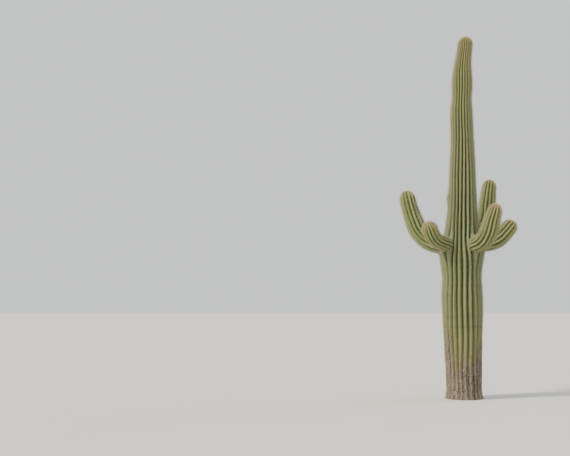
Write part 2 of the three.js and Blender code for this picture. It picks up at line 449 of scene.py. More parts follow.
trunk = trunk_stem()
arms = [arm_stem(name, arm) for name, arm in ARMS.items()]
for stem in [trunk, *arms]:
    print(f"{stem.name}: {len(stem.places)} rings, {stem.ribs} ribs, stands for {', '.join(stem.replaced)}")

# %% [markdown]
# An arm is joined to the trunk by a shoulder, not by a sharp corner: the trunk's skin rises round the arm's
# neck, and the neck widens a little towards it, with shallower ribs. The place where each arm's axis leaves
# the trunk's skin is found by stepping along it, and the swelling round it fades with the distance from that
# axis. The trunk's ribs part there, like hair round a finger: those beside the neck are pushed furthest, and
# the push fades above, below and to the sides.

# %% Where the arms join
SHOULDER_HEIGHT, SHOULDER_WIDTH = 0.022, 0.05
SHOULDER_STARTS = (-0.22, -0.08)
NECK_FLARE, NECK_FLARE_LENGTH = 0.012, 0.05
NECK_RIB_SHARE, NECK_RIBS_DEEPEN = 0.45, (0.02, 0.16)
PARTING_SHARE = 0.62
PARTING_CORE, PARTING_WIDTH, PARTING_HEIGHT = 0.05, 0.24, 0.27


@dataclass
class Joint:
    place: float
    centre: np.ndarray
    direction: np.ndarray
    neck: float


def arm_joint(stem, neck):
    """Where an arm's axis leaves the trunk."""
    trunk_radius = along(TRUNK_STATIONS, RADIUS, stem.centres[:, 2])
    drift = along(TRUNK_STATIONS, DRIFT, stem.centres[:, 2])
    outward = np.hypot(stem.centres[:, 0] - drift, stem.centres[:, 1])
    ring = int(np.argmax(outward > trunk_radius - RIB_DEPTH_LIMIT / 2))
    direction = unit(stem.centres[ring + 1] - stem.centres[ring])
    return Joint(stem.places[ring], stem.centres[ring], direction, neck)


def about_axis(points, joint):
    """How far points lie along an arm's axis from its joint, and how far from that axis."""
    offset = points - joint.centre
    forward = offset @ joint.direction
    return forward, np.linalg.norm(offset - forward[..., None] * joint.direction, axis=-1)


def fade(value, low, high):
    """0 below low, 1 above high and smooth between."""
    t = np.clip((value - low) / (high - low), 0, 1)
    return t * t * (3 - 2 * t)


def parting(angle, heights):
    """How far the arms' necks turn the trunk's ribs aside, at each height and angle."""
    turned = np.zeros((len(heights), len(angle)))
    for joint in joints.values():
        radius = along(TRUNK_STATIONS, RADIUS, joint.centre[2])
        aside = within_half_turn(angle - math.atan2(joint.centre[1], joint.centre[0])) * radius
        upwards = (heights - joint.centre[2])[:, None] / PARTING_HEIGHT
        push = np.tanh(aside / PARTING_CORE) * np.exp(-np.abs(aside) / PARTING_WIDTH - upwards**2)
        turned += PARTING_SHARE * joint.neck / radius * push
    return turned


joints = {stem.name: arm_joint(stem, ARMS[stem.name].neck) for stem in arms}
for stem in arms:
    beyond = np.clip(stem.places - joints[stem.name].place, 0, None)
    stem.crest = stem.crest + NECK_FLARE * np.exp(-((beyond / NECK_FLARE_LENGTH) ** 2))
    stem.depth = stem.depth * (NECK_RIB_SHARE + (1 - NECK_RIB_SHARE) * fade(beyond, *NECK_RIBS_DEEPEN))
    print(f"{stem.name} leaves the trunk {joints[stem.name].centre[2]:.2f} m above the ground")

# %% [markdown]
# Living skin is never even. Three kinds of unevenness are added to the pleats: the crenation, a small
# swelling of the crest under every areole, a slow sway of the ribs from side to side, and soft lumps. The
# last two come from Perlin noise, which gives the same value at the same place each time, so the plant is
# the same plant on every run. A ring's points crowd together where the skin bends most, on the crests and
# above all in the narrow valleys, and lie further apart on the flat flanks.

# %% Skin over the pleats
POINTS_PER_RIB = 14
CREST_CROWDING, VALLEY_CROWDING = 0.2, 0.6
VALLEY_SOFTNESS = 0.05
RIB_SWAY, SWAYS_AROUND, SWAYS_PER_METRE = 0.07, 1.5, 1.2
CRENATION, CRENATION_SHARPNESS = 0.0024, 6
LUMPS = ((0.32, 0.0060), (0.09, 0.0022), (0.035, 0.0008))  # size and height


def lumps(points, size):
    """Perlin noise from about -1 to 1 at each point. Its lumps are size metres across."""
    flat = points.reshape(-1, 3) / size
    return np.array([noise.noise(Vector(point)) for point in flat]).reshape(points.shape[:-1])


def layered_lumps(points, layers):
    """Lumps over lumps. layers holds the size and the height of each."""
    return sum(height * lumps(points, size) for size, height in layers)


def column_angles(ribs):
    """Where the points of a ring lie round the stem."""
    even = even_turns(ribs * POINTS_PER_RIB)
    once = (VALLEY_CROWDING - CREST_CROWDING) / 2 * np.sin(ribs * even)
    twice = (VALLEY_CROWDING + CREST_CROWDING) / 4 * np.sin(2 * ribs * even)
    return even + (once - twice) / ribs


def pleats(stem):
    """Rings of points over the pleats, their outward directions and their nearness to a crest."""
    angle = column_angles(stem.ribs)
    wave = np.hypot(np.cos(stem.ribs * angle / 2), VALLEY_SOFTNESS)
    crestness = (wave - wave.min()) / np.ptp(wave)
    rib = np.round(angle / (2 * np.pi) * stem.ribs) % stem.ribs
    swelling = np.cos(2 * np.pi * (stem.phase[:, None] + rib / 2)) * crestness**CRENATION_SHARPNESS
    around = SWAYS_AROUND * swung(angle, RIGHT, BACK)
    sway = RIB_SWAY * lumps(around + SWAYS_PER_METRE * stem.places[:, None, None] * UP, 1.0)
    turned = angle + sway
    if stem is trunk:
        turned = turned + parting(angle, stem.centres[:, 2])
    outward = swung(turned, stem.side[:, None], stem.over[:, None])
    thickness = stem.crest[:, None] / stem.crest.max()
    radius = stem.crest[:, None] - stem.depth[:, None] * (1 - crestness) + CRENATION * swelling * thickness
    points = stem.centres[:, None] + radius[..., None] * outward
    relief = thickness * layered_lumps(points, LUMPS)
    return points + relief[..., None] * outward, outward, np.tile(crestness, (len(stem.places), 1))


for stem in (trunk, arms[0]):
    print(f"{stem.name}: {stem.ribs * POINTS_PER_RIB} points in each ring")

# %% [markdown]
# The foot has another skin. Over a century it dries, cracks and heals into grey-brown cork. Painted cracks
# would look flat from the side, so they are cut into the mesh. A Voronoi pattern would be the quick way, but
# its cells are all alike, as on a tortoise. Cork splits first along the stem, into furrows that wander, and
# then each strip breaks across at its own heights. So the pattern is a wall of bricks without mortar: strips
# with their own brick height and tilt, all bent by noise. A strip lies on each crest and in each valley,
# which lets the ribs show through the bark.

# %% Cork plates
FOOT_RADIUS = 0.31
STRIPS = 2 * TRUNK_RIBS
PLATE_HEIGHT = 0.085
PLATE_SEED = 7
STRIP_TILTS, STRIP_STRETCHES = (-0.3, 0.3), (0.5, 1.4)
FURROW_BENDS, BREAK_BENDS = ((0.14, 0.55), (0.035, 0.16)), ((0.06, 0.5),)
FURROW_HALF_WIDTH, BREAK_HALF_WIDTH = 0.0055, 0.0048
BREAK_SHARE = 0.9
OPEN_FURROWS, OPEN_BREAKS = (0.16, -0.5, 0.0), (0.09, -0.4, 0.1)


def patches(points, size, low, high):
    """Patches of this size, 1 where the lumps are above high, 0 below low and smooth between."""
    return fade(lumps(points, size), low, high)


def cork_plates(points, turn):
    """At each point: 1 in a furrow or a break and 0 on a plate, and the plate's own tone."""
    rng = np.random.default_rng(PLATE_SEED)
    tilt, stretch = rng.uniform(*STRIP_TILTS, STRIPS), rng.uniform(*STRIP_STRETCHES, STRIPS)
    tones = rng.random((STRIPS, STRIPS))
    across = turn / (2 * np.pi) * STRIPS + 0.5 + layered_lumps(points, FURROW_BENDS)
    strip = np.floor(across).astype(int) % STRIPS
    up = points[..., 2] / PLATE_HEIGHT * stretch[strip] + tilt[strip] * (across % 1)
    up = up + layered_lumps(points, BREAK_BENDS)
    row = np.floor(up).astype(int) % STRIPS
    beside = np.abs(across - np.round(across)) * 2 * np.pi * FOOT_RADIUS / STRIPS
    above = np.abs(up - np.round(up)) * PLATE_HEIGHT / stretch[strip]
    furrow = np.exp(-((beside / FURROW_HALF_WIDTH) ** 2)) * patches(points, *OPEN_FURROWS)
    crossing = np.exp(-((above / BREAK_HALF_WIDTH) ** 2)) * patches(points, *OPEN_BREAKS)
    return np.maximum(furrow, BREAK_SHARE * crossing), tones[strip, row]


print(f"{STRIPS} strips of cork, each {100 * 2 * np.pi * FOOT_RADIUS / STRIPS:.1f} cm wide at the foot")

# %% [markdown]
# Cork doesn't end in a line. First the skin dries and yellows, higher on the crests, which the sun and the
# wind reach, than in the valleys, and here and there in tongues that run up the trunk. Where it has dried
# enough, cork breaks through in ragged patches, which stand a little proud of the skin between them, each
# plate by its own thickness. The skin round the arms' necks, which the arms' weight strains, only dries.

# %% The trunk's and the arms' skin
DRY_LIMIT, DRY_FADE = 0.80, 0.58
DRY_TONGUES = ((0.5, 0.50), (0.12, 0.34))
TONGUE_SQUEEZE = 0.3
DRY_ON_CRESTS = 0.34
DRY_NECK, DRY_NECK_PATCHES = 0.24, (0.07, -0.5, 0.5)
DRY_NECK_LENGTH, DRY_NECK_EDGE = 0.10, ((0.05, 0.06),)
RAGGED_PATCHES, RAGGED_WHERE_DRY = ((0.08, 0.40), (0.03, 0.26)), (0.0, 0.35)
CORK_WHERE_DRY, CRACKED_WHERE_DRY = (0.42, 0.58), (0.2, 0.8)
CORK_THICKNESS, PLATE_THICKNESS = 0.002, 0.004
CORK_LUMPS = ((0.019, 0.0014),)
CRACK_DEPTH = 0.0075


def dryness(points, crestness):
    """How dry the trunk's skin is at each point, from 0 to 1."""
    limit = DRY_LIMIT + DRY_ON_CRESTS * (crestness - 0.5)
    limit = limit + layered_lumps(points * (1, 1, TONGUE_SQUEEZE), DRY_TONGUES)
    return 1 - fade(points[..., 2], limit - DRY_FADE, limit + DRY_FADE)


def flank_swelling(outward, heights):
    """How far the low swelling on the left flank stands out."""
    turn = within_half_turn(np.arctan2(outward[..., 1], outward[..., 0]) - SWELLING_AZIMUTH)
    sideways = turn * trunk.crest[:, None] / SWELLING_HALF_WIDTH
    upwards = (heights - SWELLING_HEIGHT) / SWELLING_HALF_HEIGHT
    return SWELLING_REACH * np.exp(-(sideways**2) - upwards**2)


def shoulders(points):
    """1 round the arms' necks, and fading to 0 away from them."""
    found = np.zeros(points.shape[:-1])
    for joint in joints.values():
        forward, apart = about_axis(points, joint)
        beside = np.clip(apart - joint.neck, 0, None) / SHOULDER_WIDTH
        found = np.maximum(found, fade(forward, *SHOULDER_STARTS) * np.exp(-(beside**2)))
    return found


def trunk_skin_points():
    points, outward, crestness = pleats(trunk)
    dry = dryness(points, crestness)
    ragged = layered_lumps(points, RAGGED_PATCHES) * fade(dry, *RAGGED_WHERE_DRY)
    cork = fade(dry + ragged, *CORK_WHERE_DRY)
    crack, tone = cork_plates(points, column_angles(TRUNK_RIBS) + 0 * crestness)
    crack = crack * cork * fade(dry, *CRACKED_WHERE_DRY)
    rise = cork * (CORK_THICKNESS + PLATE_THICKNESS * tone + layered_lumps(points, CORK_LUMPS))
    rise = rise - CRACK_DEPTH * crack + flank_swelling(outward, points[..., 2])
    shoulder = shoulders(points)
    dry = np.maximum(dry, DRY_NECK * shoulder * patches(points, *DRY_NECK_PATCHES))
    points = points + (rise + SHOULDER_HEIGHT * shoulder)[..., None] * outward
    points[0, :, 2] = 0  # the lowest ring stays on the ground
    return points, {"crestness": crestness, "dry": dry, "cork": cork, "crack": crack, "plate": cork * tone}


def arm_skin_points(stem):
    points, _, crestness = pleats(stem)
    beyond = (stem.places - joints[stem.name].place)[:, None]
    dry = DRY_NECK * (1 - fade(beyond, 0.0, DRY_NECK_LENGTH + layered_lumps(points, DRY_NECK_EDGE)))
    plain = np.zeros_like(crestness)
    return points, {"crestness": crestness, "dry": dry, "cork": plain, "crack": plain, "plate": plain}


print(f"cork is up to {1000 * (CORK_THICKNESS + PLATE_THICKNESS):.0f} mm thick")
print(f"its cracks are {1000 * CRACK_DEPTH:.1f} mm deep")

# %% [markdown]
# The rings become a closed mesh: a quad between each four neighbours, and a fan of triangles over each end.
# What the material has to know, which no texture could find out, is kept on the points as named attributes,
# such as how near a crest the point is, how far along the stem, how young and how dry the skin is, and where
# it is cork or a crack. The trunk's skin is made in two stretches, since its foot has a much finer relief.
# Their normals are worked out over the whole skin first and then set on each stretch, so that light runs
# over the seam as if it weren't there.

# %% Skin meshes
def grid_normals(grid):
    """The outward direction at each point of a stack of rings."""
    around = np.roll(grid, -1, axis=1) - np.roll(grid, 1, axis=1)
    return unit(np.cross(around, np.gradient(grid, axis=0)))


def skin_mesh(name, grid, normals, ends, attributes):
    """A closed mesh over rings of points. ends are the middle points of its two fans."""
    rings, columns = grid.shape[:2]
    ring, column = np.meshgrid(np.arange(rings - 1), np.arange(columns), indexing="ij")
    start, ahead = ring * columns + column, ring * columns + (column + 1) % columns
    quads = np.stack([start, ahead, ahead + columns, start + columns], axis=-1).reshape(-1, 4).tolist()
    top, hub = (rings - 1) * columns, rings * columns
    bottom_fan = [((i + 1) % columns, i, hub) for i in range(columns)]
    top_fan = [(top + i, top + (i + 1) % columns, hub + 1) for i in range(columns)]
    mesh = new_mesh(name, np.vstack([grid.reshape(-1, 3), ends]), quads + bottom_fan + top_fan)
    for key, values in attributes.items():
        middles = (values[0].mean(), values[-1].mean())
        layer = mesh.attributes.new(key, "FLOAT", "POINT")
        layer.data.foreach_set("value", np.append(values.ravel(), middles).astype(np.float32))
    mesh.shade_smooth()
    along_stem = unit(np.array(ends[1]) - np.array(ends[0]))
    mesh.normals_split_custom_set_from_vertices([*normals.reshape(-1, 3), -along_stem, along_stem])
    return mesh


def add_piece(name, mesh, materials):
    """Put a mesh into the scene as a piece that rides with the plant."""
    for material in materials:
        mesh.materials.append(material)
    piece = add_object(name, mesh)
    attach(piece, "root")
    print(f"{name}: {len(mesh.polygons)} faces")
    return piece


# %% [markdown]
# The skin is a living epidermis under a coat of wax, and at the foot it is cork. What changes over it comes
# from two sources: the attributes of the mesh, and noise at the sizes that such marks have on a real plant.
# Blotches, flecks, scars and grain are round, so they are noise in space. Growth bands and fine wrinkles run
# across the stem, so they are noise along it. Cork has fibres that run along the stem, and small upright
# cells, each with its own tone, between fine cracks that noise bends. The wax's grain is drawn coarser than
# it is, at 4 mm, or it wouldn't show.

# %% Patterns in the skin
SPACE_NOISE_MM = {"blotch": 160, "fleck": 22, "scar": 55, "cork_blotch": 45, "grain": 4}
LENGTH_NOISE_MM = {"band": 90, "wrinkle": 11}
CORK_FIBRE_MM, CELL_MM = (6, 6, 34), (13, 13, 44)
CELL_BEND, SWIRLS_PER_CELL = 0.9, 1.2
THINNEST_LINE, THICKEST_LINE = 0.01, 0.15
THIN_LINES_BELOW, THICK_LINES_ABOVE = 0.35, 0.65
SCAR_FROM, SCAR_FULL = 0.645, 0.67


def stretched(tree, place, sizes):
    """Coordinates in which a pattern has its own size, in millimetres, along each axis."""
    scale = tuple(per_metre(size) for size in sizes)
    return add_node(tree, "ShaderNodeMapping", {"Vector": place, "Scale": scale}).outputs[0]


def cork_cells(tree, place, thickness):
    """Small cells of cork: 1 on the lines between them and 0 inside, and each cell's own tone."""
    cell = stretched(tree, place, CELL_MM)
    swirls = {"Vector": cell, "Scale": SWIRLS_PER_CELL, "Detail": 2.0}
    swirl = add_node(tree, "ShaderNodeTexNoise", swirls)
    bending = {0: swirl.outputs["Color"], 1: (CELL_BEND,) * 3, 2: cell}
    bent = add_node(tree, "ShaderNodeVectorMath", bending, operation="MULTIPLY_ADD").outputs[0]
    inputs = {"Vector": bent, "Scale": 1.0}
    edges = add_node(tree, "ShaderNodeTexVoronoi", inputs, feature="DISTANCE_TO_EDGE")
    tone = add_node(tree, "ShaderNodeTexVoronoi", inputs).outputs["Color"]
    lines = {"Value": edges.outputs["Distance"], "From Max": thickness, "To Min": 1.0, "To Max": 0.0}
    return add_node(tree, "ShaderNodeMapRange", lines).outputs["Result"], tone


def skin_patterns(tree, place):
    """All that changes from place to place over the skin, by name."""
    found = {}
    for key in ("crestness", "youth", "dry", "cork", "crack", "plate", "distance"):
        found[key] = add_node(tree, "ShaderNodeAttribute", attribute_name=key).outputs["Fac"]
    for key, size in SPACE_NOISE_MM.items():
        inputs = {"Vector": place, "Scale": per_metre(size), "Detail": 4.0}
        found[key] = add_node(tree, "ShaderNodeTexNoise", inputs).outputs["Fac"]
    for key, size in LENGTH_NOISE_MM.items():
        inputs = {"W": found["distance"], "Scale": per_metre(size), "Detail": 2.0}
        found[key] = add_node(tree, "ShaderNodeTexNoise", inputs, noise_dimensions="1D").outputs["Fac"]
    inputs = {"Vector": stretched(tree, place, CORK_FIBRE_MM), "Scale": 1.0, "Detail": 3.0}
    found["fibre"] = add_node(tree, "ShaderNodeTexNoise", inputs).outputs["Fac"]
    inputs = {"Value": found["scar"], "From Min": SCAR_FROM, "From Max": SCAR_FULL}
    found["scar"] = add_node(tree, "ShaderNodeMapRange", inputs).outputs["Result"]
    inputs = {"Value": found["cork_blotch"], "From Min": THIN_LINES_BELOW, "From Max": THICK_LINES_ABOVE,
              "To Min": THINNEST_LINE, "To Max": THICKEST_LINE}
    thickness = add_node(tree, "ShaderNodeMapRange", inputs).outputs["Result"]
    found["crackle"], found["cell"] = cork_cells(tree, place, thickness)
    found["ridge"] = found["crestness"]
    for key in ("cork_blotch", "fibre", "crackle", "cell", "ridge"):
        inputs = {0: found[key], 1: found["cork"]}
        found[key] = add_node(tree, "ShaderNodeMath", inputs, operation="MULTIPLY").outputs["Value"]
    return found


print("noise over the skin:", ", ".join([*SPACE_NOISE_MM, *LENGTH_NOISE_MM]))

# %% [markdown]
# The wax is what gives a saguaro its satin, slightly blue-grey look. It makes the crests paler, where it is
# thickest and where wind and dust polish it. Deep in the valleys the green is fresher, and darker as painted
# shade in the folds. Old skin yellows, dries to a dull tan and then turns to grey-brown cork. A long chain of
# mixing nodes would be hard to read, so the colours are rows of a list, laid over each other from the first
# to the last. Each row names its pattern, the pattern's values where the colour starts and is full, and how
# much it may cover.

# %% Colours of the skin
SKIN_COLOURS = (
    ("flank", "crestness", 0.05, 0.45, 1.0),
    ("crest", "crestness", 0.50, 0.98, 0.8),
    ("young", "youth", 0.55, 1.0, 0.55),
    ("#757247", "youth", 0.42, 0.10, 0.55),
    ("#73753d", "blotch", 0.52, 0.72, 0.40),
    ("#4b5731", "band", 0.55, 0.70, 0.30),
    ("#a3ad93", "fleck", 0.55, 0.75, 0.30),
    ("#7d6f56", "scar", 0.0, 1.0, 0.65),
    ("#74694b", "dry", 0.03, 0.50, 0.85),
    ("#574d40", "cork", 0.10, 0.90, 0.95),
    ("#7f786a", "ridge", 0.25, 0.95, 0.75),
    ("#918b7c", "cork_blotch", 0.40, 0.62, 0.45),
    ("#999385", "plate", 0.30, 0.95, 0.35),
    ("#6a5a45", "cell", 0.40, 0.75, 0.45),
    ("#4c4237", "fibre", 0.56, 0.72, 0.55),
    ("#3a3229", "crackle", 0.25, 0.85, 0.36),
    ("#2a241d", "crack", 0.25, 0.95, 0.85),
)


def skin_colour(tree, patterns, greens):
    """The skin's colour. greens are this stem's own tones, by name."""
    # the valley's green is partly painted shade, dark where the folds are deepest
    tone = linear(greens["valley"])
    for colour, pattern, low, high, most in SKIN_COLOURS:
        limits = {"Value": patterns[pattern], "From Min": low, "From Max": high, "To Max": most}
        share = add_node(tree, "ShaderNodeMapRange", limits, interpolation_type="SMOOTHSTEP")
        mix = {0: share.outputs["Result"], MIX_A: tone, MIX_B: linear(greens.get(colour, colour))}
        tone = add_node(tree, "ShaderNodeMix", mix, data_type="RGBA").outputs[MIXED]
    return tone


print(len(SKIN_COLOURS), "colours laid over the green of the valleys")

# %% [markdown]
# Relief finer than the mesh comes from bump nodes, one on top of another, with heights in millimetres. Wax
# and plant cuticle bend light much like other oils, at an IOR of about 1.45. Their gloss is uneven: the
# crests are polished in patches, the valleys hold dust, and cork has no gloss at all.

# %% Waxy skin and cork
SKIN_RELIEF_MM = {"grain": 0.4, "wrinkle": 1.2, "scar": 0.8, "fibre": 4.0, "cell": 1.5, "crackle": -1.2}
WAX_IOR = 1.45
POLISHED_WAX, DULL_WAX, DUSTY_VALLEY, CORK_ROUGHNESS = 0.38, 0.54, 1.0, 0.92

# pattern, its values where the dulling starts and is full, and the roughness there
DULLED_SKIN = (
    ("fleck", 0.3, 0.7, DULL_WAX),
    ("crestness", 0.45, 0.05, DUSTY_VALLEY),
    ("cork", 0.0, 1.0, CORK_ROUGHNESS),
)


def skin_relief(tree, patterns):
    below = {}
    for pattern, millimetres in SKIN_RELIEF_MM.items():
        relief = {"Height": patterns[pattern], "Distance": abs(millimetres) / 1000, "Strength": 1.0, **below}
        below = {"Normal": add_node(tree, "ShaderNodeBump", relief, invert=millimetres < 0).outputs["Normal"]}
    return below["Normal"]


def skin_roughness(tree, patterns):
    roughness = POLISHED_WAX
    for pattern, low, high, dulled in DULLED_SKIN:
        dulling = {"Value": patterns[pattern], "From Min": low, "From Max": high,
                   "To Min": roughness, "To Max": dulled}
        roughness = add_node(tree, "ShaderNodeMapRange", dulling).outputs["Result"]
    return roughness


def waxy_cuticle(name, **greens):
    material, tree, shader, place = new_material(name)
    patterns = skin_patterns(tree, place)
    tree.links.new(skin_colour(tree, patterns, greens), shader.inputs["Base Color"])
    tree.links.new(skin_roughness(tree, patterns), shader.inputs["Roughness"])
    tree.links.new(skin_relief(tree, patterns), shader.inputs["Normal"])
    shader.inputs["IOR"].default_value = WAX_IOR
    return material


# each valley green is partly a fresher green and partly painted shade in the folds
trunk_cuticle = waxy_cuticle(
    "waxy_cuticle_trunk", valley="#2f3b1d", flank="#55643a", crest="#79845f", young="#677b43")
arm_cuticle = waxy_cuticle(
    "waxy_cuticle_arm", valley="#32411e", flank="#5a6c3a", crest="#7e8a60", young="#6e8347")
print("materials:", trunk_cuticle.name, arm_cuticle.name)

# %% [markdown]
# Now the skins themselves. Each arm's skin starts inside the trunk, where nobody sees it, and runs in one
# piece over the elbow to the tip, so the place where the solid model parts the arm in two doesn't show.

# %% Trunk and arm skins
@dataclass
class Skin:
    grid: np.ndarray
    normals: np.ndarray
    worn: np.ndarray


def stretches(stem):
    """The names of the pieces that a stem's skin is made in, each with its rings."""
    if stem is not trunk:
        return {f"{stem.name}_skin": slice(None)}
    seam = int(np.argmax(stem.places > FINE_HEIGHT))
    return {"trunk_foot_skin": slice(seam + 1), "trunk_skin": slice(seam, None)}


skins = {}
for stem in [trunk, *arms]:
    grid, attributes = trunk_skin_points() if stem is trunk else arm_skin_points(stem)
    attributes["youth"] = stem.youth[:, None] + 0 * grid[..., 0]
    attributes["distance"] = stem.places[:, None] + 0 * grid[..., 0]
    worn = (attributes["dry"] + attributes["cork"]) / 2
    skins[stem.name] = Skin(grid, grid_normals(grid), worn)
    cuticle, slot = (trunk_cuticle, "trunk_skin") if stem is trunk else (arm_cuticle, "arm_skin")
    for name, rings in stretches(stem).items():
        part = grid[rings]
        ends = (part[0].mean(axis=0), stem.tip if rings.stop is None else part[-1].mean(axis=0))
        layers = {key: values[rings] for key, values in attributes.items()}
        mesh = skin_mesh(name, part, skins[stem.name].normals[rings], ends, layers)
        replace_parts(add_piece(name, mesh, [cuticle]), *stem.replaced)

# %% [markdown]
# Areoles are the short shoots of a cactus, shrunk to cushions of wool. They sit on the crests in staggered
# rows, and a spiral of them covers each growing tip. Each one needs a place, the direction that it faces
# and the direction towards the tip, all read off the finished skin. Where an arm leaves the trunk, those
# that would lie inside the other stem are left out, and cork has swallowed many of those at the foot.

# %% Places of the areoles
CROWN_AREOLES = 22
CROWN_REACH = math.radians(34)
DOME_RINGS = 30
GOLDEN_ANGLE = math.radians(137.508)
ON_A_RING = 0.01
SPARSE_BELOW, SPARSER_BELOW = 0.011, 0.006
LOWEST_AREOLE = 0.05
BEHIND_JOINT = -0.12
SWALLOWED_SHARE, SWALLOWED_SEED = 0.65, 11


@dataclass
class Areoles:
    place: np.ndarray
    normal: np.ndarray
    upward: np.ndarray
    youth: np.ndarray
    worn: np.ndarray


def crest_areoles(stem):
    """Areoles on the crests. Where the ribs run together at the tip, only some ribs keep theirs."""
    skin = skins[stem.name]
    rib = np.arange(stem.ribs)
    from_whole = np.abs((stem.phase[:, None] + rib / 2 + 0.5) % 1 - 0.5)
    apart = (2 * np.pi * stem.crest / stem.ribs)[:, None]
    room = (apart > SPARSE_BELOW) | ((rib % 2 == 0) & (apart > SPARSER_BELOW))
    chosen = (from_whole < ON_A_RING) & room
    chosen[[0, -1]] = False
    ring, rib = np.nonzero(chosen)
    at = ring, rib * POINTS_PER_RIB
    upward = unit(skin.grid[ring + 1, at[1]] - skin.grid[ring - 1, at[1]])
    return Areoles(skin.grid[at], skin.normals[at], upward, stem.youth[ring], skin.worn[at])


def crown_areoles(stem):
    """A spiral of areoles over the dome round the tip."""
    index = np.arange(CROWN_AREOLES)
    lean, turn = CROWN_REACH * np.sqrt((index + 0.5) / CROWN_AREOLES), index * GOLDEN_ANGLE
    forward = unit(np.cross(stem.side[-1], stem.over[-1]))
    flat = swung(turn, stem.side[-1], stem.over[-1])
    normal = swung(lean, forward, flat)
    upward = unit(swung(lean, -flat, forward))
    radius = np.max(stem.crest[-DOME_RINGS:])
    place = np.array(stem.tip) + radius * (normal - forward)
    return Areoles(place, normal, upward, np.ones(len(index)), np.zeros(len(index)))


def kept(areoles, mask):
    return Areoles(*[values[mask] for values in vars(areoles).values()])


def joined(first, second):
    return Areoles(*[np.concatenate(pair) for pair in zip(vars(first).values(), vars(second).values())])


def in_the_open(stem, areoles):
    """True for the areoles of a stem that don't lie inside the stem that it joins, or at the very ground."""
    if stem is not trunk:
        drift = along(TRUNK_STATIONS, DRIFT, areoles.place[:, 2])
        outward = np.hypot(areoles.place[:, 0] - drift, areoles.place[:, 1])
        return outward > along(TRUNK_STATIONS, RADIUS, areoles.place[:, 2]) + SHOULDER_HEIGHT
    free = areoles.place[:, 2] > LOWEST_AREOLE
    for joint in joints.values():
        forward, apart = about_axis(areoles.place, joint)
        free &= (forward < BEHIND_JOINT) | (apart > joint.neck + NECK_FLARE)
    return free


def not_swallowed(areoles):
    """True for the areoles that cork hasn't grown over."""
    luck = np.random.default_rng(SWALLOWED_SEED).random(len(areoles.worn))
    return luck > SWALLOWED_SHARE * areoles.worn


plant_areoles = {}
for stem in [trunk, *arms]:
    on_crests = crest_areoles(stem)
    on_crests = kept(on_crests, in_the_open(stem, on_crests) & not_swallowed(on_crests))
    plant_areoles[stem.name] = joined(on_crests, crown_areoles(stem))
    print(f"{stem.name}: {len(plant_areoles[stem.name].place)} areoles")

# %% [markdown]
# The cushions are felt: millions of short, dull hairs, tan when young and grey with age. Those that are left
# on the cork are small, dark stubs. No hair can be seen from a few steps away, so each cushion is a low
# closed dome, and the hairs are left to the shader's sheen, which brightens a surface where the eye looks
# along it, as real fuzz does. Its grain is drawn at 1.5 mm, far coarser than a hair, so that it shows.

# %% Felt cushions
FELT_HALF_LENGTH, FELT_HALF_WIDTH = 0.0075, 0.0055
FELT_RISE, FELT_SINK = 0.0040, 0.0015
FELT_SHOULDER_OUT, FELT_SHOULDER_UP = 0.72, 0.7
FELT_SIDES = 8
FELT_SIZES, FELT_WEAR = (0.85, 1.2), 0.5
FELT_GRAIN_MM = 1.5
FELT_FINISH = {"Roughness": 0.95, "Sheen Weight": 0.35, "Sheen Tint": linear("#dccfae")}
WORN_FELT_FROM, YOUNG_FELT_FROM = 0.4, 0.55

# age, darker and lighter tone
FELT_TONES = (
    ("worn", "#463d30", "#6c604c"),
    ("old", "#625a42", "#8f8565"),
    ("young", "#927f60", "#c3b188"),
)


def wool_felt(age, dark, light):
    return mottled_material(f"wool_felt_{age}", FELT_GRAIN_MM, dark, light, FELT_FINISH)


def felt_mesh(name, areoles, seed):
    """A low dome of felt for each areole, a little longer than wide."""
    size = np.random.default_rng(seed).uniform(*FELT_SIZES, len(areoles.place))
    size = (size * (1 - FELT_WEAR * areoles.worn))[:, None, None]
    normal, upward, place = areoles.normal[:, None], areoles.upward[:, None], areoles.place[:, None]
    sideways = np.cross(normal, upward)
    flat = swung(even_turns(FELT_SIDES), FELT_HALF_LENGTH * upward, FELT_HALF_WIDTH * sideways)
    hem = place + size * (flat - FELT_SINK * normal)
    shoulder = place + size * (FELT_SHOULDER_OUT * flat + FELT_SHOULDER_UP * FELT_RISE * normal)
    top = place + size * FELT_RISE * normal
    points = np.concatenate([hem, shoulder, top], axis=1)
    faces = [tuple(range(FELT_SIDES - 1, -1, -1))]
    for i in range(FELT_SIDES):
        j = (i + 1) % FELT_SIDES
        faces += [(i, j, FELT_SIDES + j, FELT_SIDES + i), (FELT_SIDES + i, FELT_SIDES + j, 2 * FELT_SIDES)]
    step = points.shape[1]
    every = [tuple(step * n + corner for corner in face) for n in range(len(points)) for face in faces]
    mesh = new_mesh(name, points, every)
    age = np.where(areoles.worn > WORN_FELT_FROM, 0, np.where(areoles.youth < YOUNG_FELT_FROM, 1, 2))
    mesh.polygons.foreach_set("material_index", np.repeat(age, len(faces)).astype(np.int32))
    mesh.shade_smooth()
    return mesh


felts = [wool_felt(*tones) for tones in FELT_TONES]
for seed, (name, found) in enumerate(plant_areoles.items()):
    add_piece(f"{name}_areoles", felt_mesh(f"{name}_areoles", found, seed), felts)

# %% [markdown]
# A saguaro has two kinds of spine in every areole: a few long, stout ones that point outwards, and a ring of
# short ones that lie close to the skin and shade it. Both are straight tapered needles, horn-hard and
# woody, straw-coloured or red-brown when young, then ash-grey. Near the foot most have worn off. Each is a
# closed, three-sided spike of four faces. Hair curves would render faster, but they would be lost on
# export, and even well over a hundred thousand such spikes make a light mesh.

